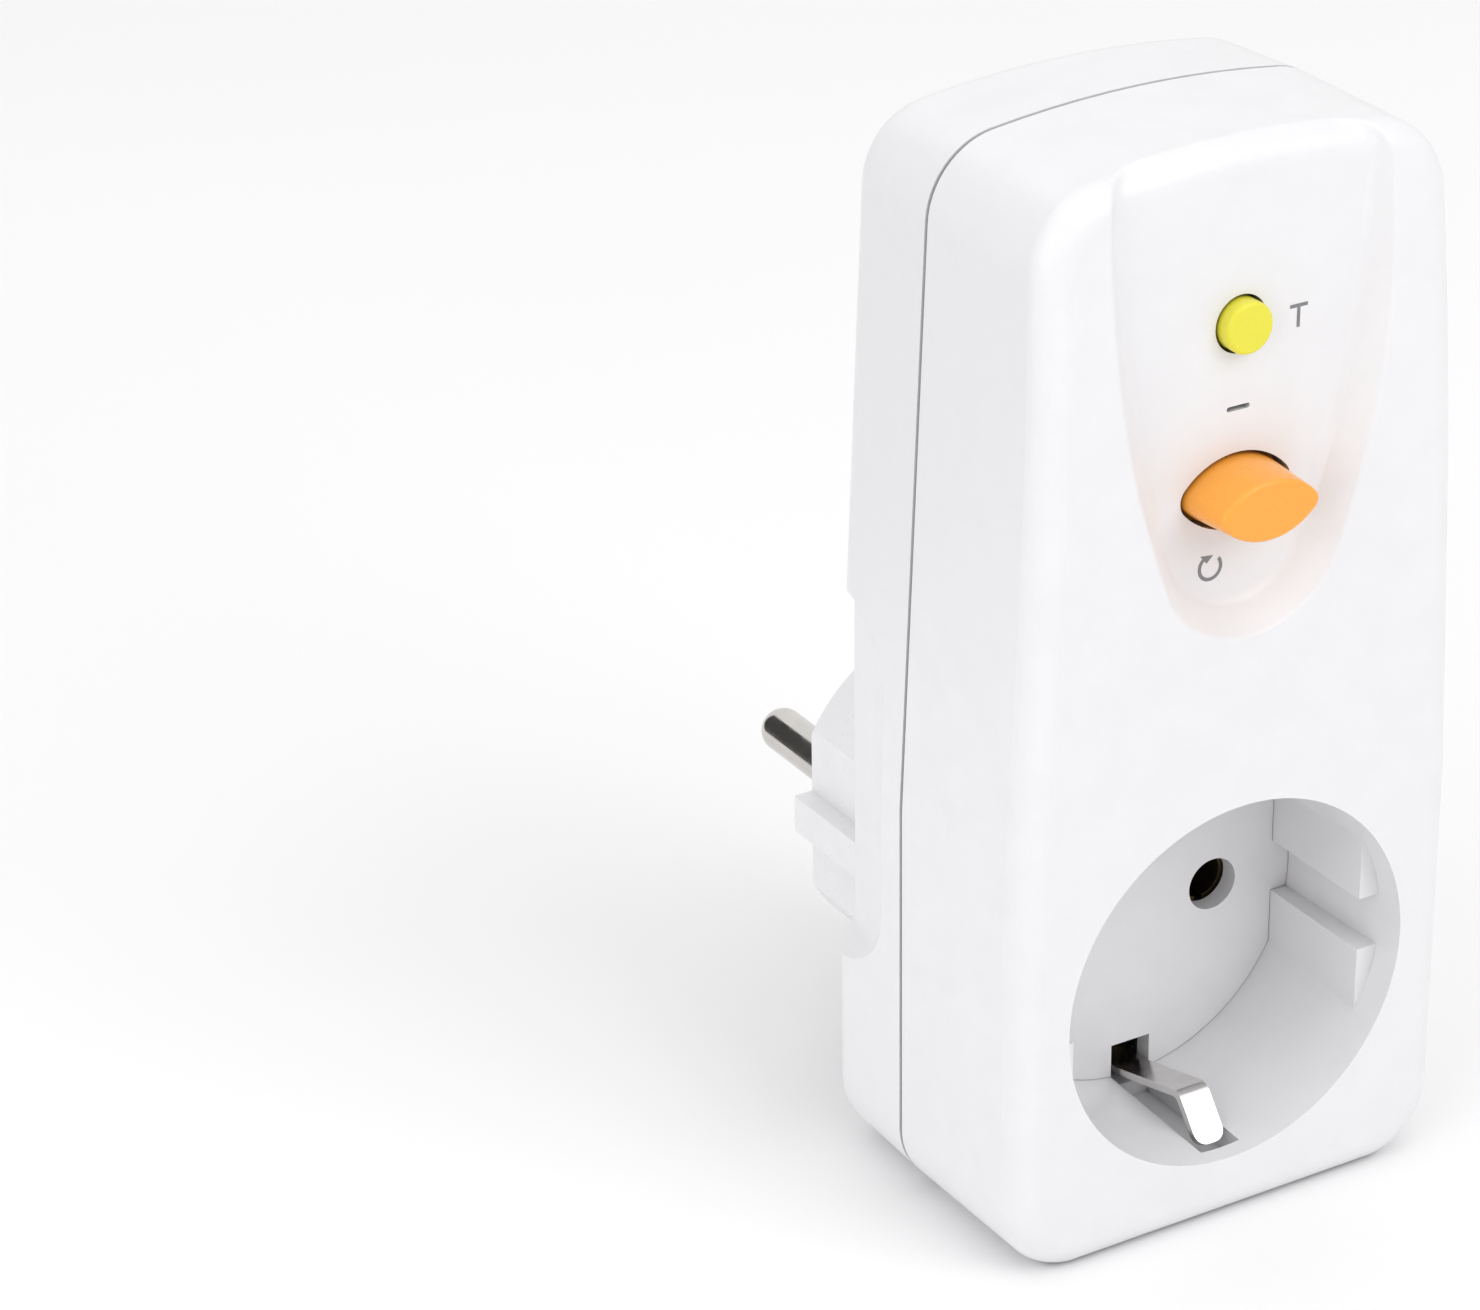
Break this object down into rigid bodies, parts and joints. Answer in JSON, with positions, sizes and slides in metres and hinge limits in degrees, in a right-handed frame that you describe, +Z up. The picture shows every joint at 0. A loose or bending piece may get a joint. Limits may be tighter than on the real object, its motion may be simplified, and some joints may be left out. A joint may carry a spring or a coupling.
{
  "type": "residual-current adapter",
  "caption": "Plug-in residual-current adapter: tapered two-part housing, earthed plug at the back, recessed socket, test and reset buttons and trip mechanism.",
  "frame": {"origin": "middle of the overall box's base, where the adapter stands upright", "axes": "+Z up along the housing, -Y out of the socket and buttons, +Y out of the plug"},
  "size_m": [0.051, 0.074, 0.1113],
  "materials": {
    "housing_white": "satin white plastic",
    "plug_white": "satin white plastic",
    "screw_steel": "zinc-plated steel",
    "nickel": "polished nickel plating",
    "earth_metal": "nickel-plated sheet",
    "clip_metal": "bright nickel-plated spring sheet",
    "dark_plastic": "near-black plastic",
    "button_orange": "orange plastic",
    "button_yellow": "lemon-yellow plastic",
    "flag_dark": "dark plastic",
    "inner_plastic": "brown moulding",
    "copper_alloy": "brass",
    "sheet_steel": "plain sheet steel",
    "spring_steel": "spring wire",
    "winding_copper": "enamelled copper wire",
    "core_iron": "nickel-iron core",
    "wire_sheath": "insulated wire",
    "board_green": "circuit board",
    "capacitor_case": "boxed capacitor",
    "varistor_blue": "coated disc",
    "resistor_body": "lacquered resistors"
  },
  "bodies": {
    "housing": {"front_cover": "housing_white", "socket_floor": "housing_white", "rear_cover": "housing_white", "case_screws": "screw_steel", "plug_body": "plug_white", "live_pin": "nickel", "neutral_pin": "nickel", "pin_collars": "dark_plastic", "upper_plug_earth_strip": "earth_metal", "lower_plug_earth_strip": "earth_metal", "earth_bracket": "dark_plastic", "earth_socket_insert": "plug_white", "earth_pin_sleeve": "earth_metal", "contact_carrier": "inner_plastic", "left_contact_sleeve": "copper_alloy", "right_contact_sleeve": "copper_alloy", "earth_strap": "copper_alloy", "reset_spring": "spring_steel", "test_spring": "spring_steel", "mechanism_frame": "sheet_steel", "guide_pins": "sheet_steel", "opening_springs": "spring_steel", "fixed_contacts": "copper_alloy", "contact_posts": "inner_plastic", "lever_pin": "sheet_steel", "trip_yoke": "sheet_steel", "trip_bobbin": "inner_plastic", "trip_winding": "winding_copper", "plunger_spring": "spring_steel", "transformer_core": "core_iron", "transformer_winding": "winding_copper", "transformer_base": "inner_plastic", "line_wires": "wire_sheath", "load_wires": "wire_sheath", "test_post": "inner_plastic", "test_terminal": "copper_alloy", "circuit_board": "board_green", "capacitor": "capacitor_case", "varistor": "varistor_blue", "control_chip": "dark_plastic", "resistors": "resistor_body", "diodes": "dark_plastic"},
    "test_key": {"test_button": "button_yellow"},
    "reset_key": {"reset_button": "button_orange"},
    "carriage": {"latch_carriage": "inner_plastic", "contact_bridges": "copper_alloy"},
    "flag": {"indicator_flag": "flag_dark"},
    "plunger": {"trip_plunger": "sheet_steel"},
    "lever": {"latch_lever": "sheet_steel"},
    "leaf": {"test_leaf": "copper_alloy"},
    "upper_clip": {"upper_earth_clip": "clip_metal"},
    "lower_clip": {"lower_earth_clip": "clip_metal"}
  },
  "joints": [
    {"name": "test_press", "type": "slide", "parent": "housing", "child": "test_key", "axis": [0, 1, 0], "range_m": [0, 0.0014], "stiffness_N_per_m": 100, "springref_m": -0.004, "deforming": ["test_spring"]},
    {"name": "reset_press", "type": "slide", "parent": "housing", "child": "reset_key", "axis": [0, 1, 0], "range_m": [0, 0.0022], "stiffness_N_per_m": 150, "springref_m": -0.004, "deforming": ["reset_spring"]},
    {"name": "carriage_slide", "type": "slide", "parent": "housing", "child": "carriage", "axis": [0, 1, 0], "range_m": [0, 0.0022], "deforming": ["opening_springs"]},
    {"name": "flag_slide", "type": "slide", "parent": "housing", "child": "flag", "axis": [0, 0, 1], "range_m": [0, 0.002]},
    {"name": "trip_stroke", "type": "slide", "parent": "housing", "child": "plunger", "axis": [0, 0, -1], "range_m": [0, 0.0012], "stiffness_N_per_m": 60, "springref_m": -0.004, "deforming": ["plunger_spring"]},
    {"name": "latch_swing", "type": "hinge", "parent": "housing", "child": "lever", "pos_m": [-0.0025, -0.0145, 0.0847], "axis": [0, -1, 0], "range_deg": [0, 16.1]},
    {"name": "leaf_bend", "type": "hinge", "parent": "housing", "child": "leaf", "pos_m": [0, -0.023, 0.1055], "axis": [1, 0, 0], "range_deg": [0, 6.9]},
    {"name": "upper_clip_flex", "type": "hinge", "parent": "housing", "child": "upper_clip", "pos_m": [0, -0.0135, 0.0447], "axis": [-1, 0, 0], "range_deg": [0, 4], "stiffness_Nm_per_rad": 0.01, "springref_deg": -5.73},
    {"name": "lower_clip_flex", "type": "hinge", "parent": "housing", "child": "lower_clip", "pos_m": [0, -0.0135, 0.0083], "axis": [1, 0, 0], "range_deg": [0, 4], "stiffness_Nm_per_rad": 0.01, "springref_deg": -5.73}
  ],
  "couplings": [
    {"joint": "carriage_slide", "follows": "reset_press", "ratio": 1},
    {"joint": "flag_slide", "follows": "reset_press", "ratio": 0.909},
    {"joint": "latch_swing", "follows": "trip_stroke", "rad_per_m": 232.7},
    {"joint": "leaf_bend", "follows": "test_press", "rad_per_m": 84.9}
  ]
}
